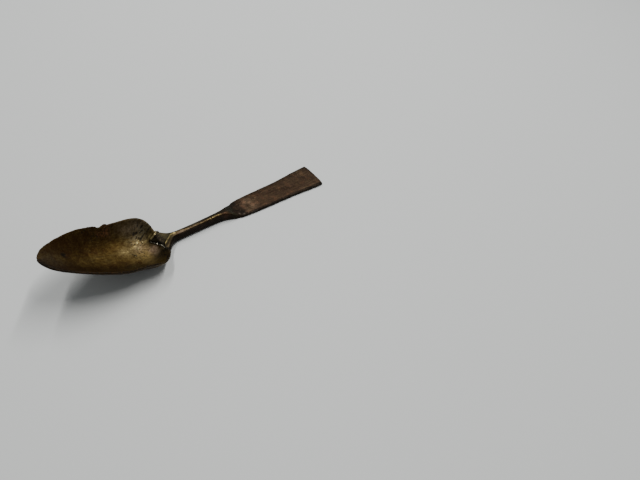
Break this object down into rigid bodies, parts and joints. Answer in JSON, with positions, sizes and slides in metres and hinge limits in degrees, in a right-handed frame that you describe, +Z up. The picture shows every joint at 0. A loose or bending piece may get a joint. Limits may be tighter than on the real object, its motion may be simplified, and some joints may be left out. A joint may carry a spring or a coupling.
{
  "type": "souvenir spoon",
  "caption": "Hand-made brass spoon: a deep egg-shaped sheet bowl soldered to a square stem that is beaten out into a flat, flaring terminal, with solder showing at the joint.",
  "frame": {"origin": "middle of the bounding box, on the surface that the spoon lies on", "axes": "+X from the tip of the bowl to the end of the handle, +Y across, +Z up out of the mouth of the bowl"},
  "size_m": [0.17, 0.035, 0.0288],
  "materials": {
    "bowl_brass": "dull, brown and olive patina",
    "handle_brass": "satin, brown patina, worn bright on the stem",
    "solder": "rough, bright in places"
  },
  "bodies": {
    "root": {"bowl": "bowl_brass", "handle": "handle_brass", "solder_seam": "solder", "heel_bead": "solder", "solder_splashes": "solder"}
  },
  "joints": []
}
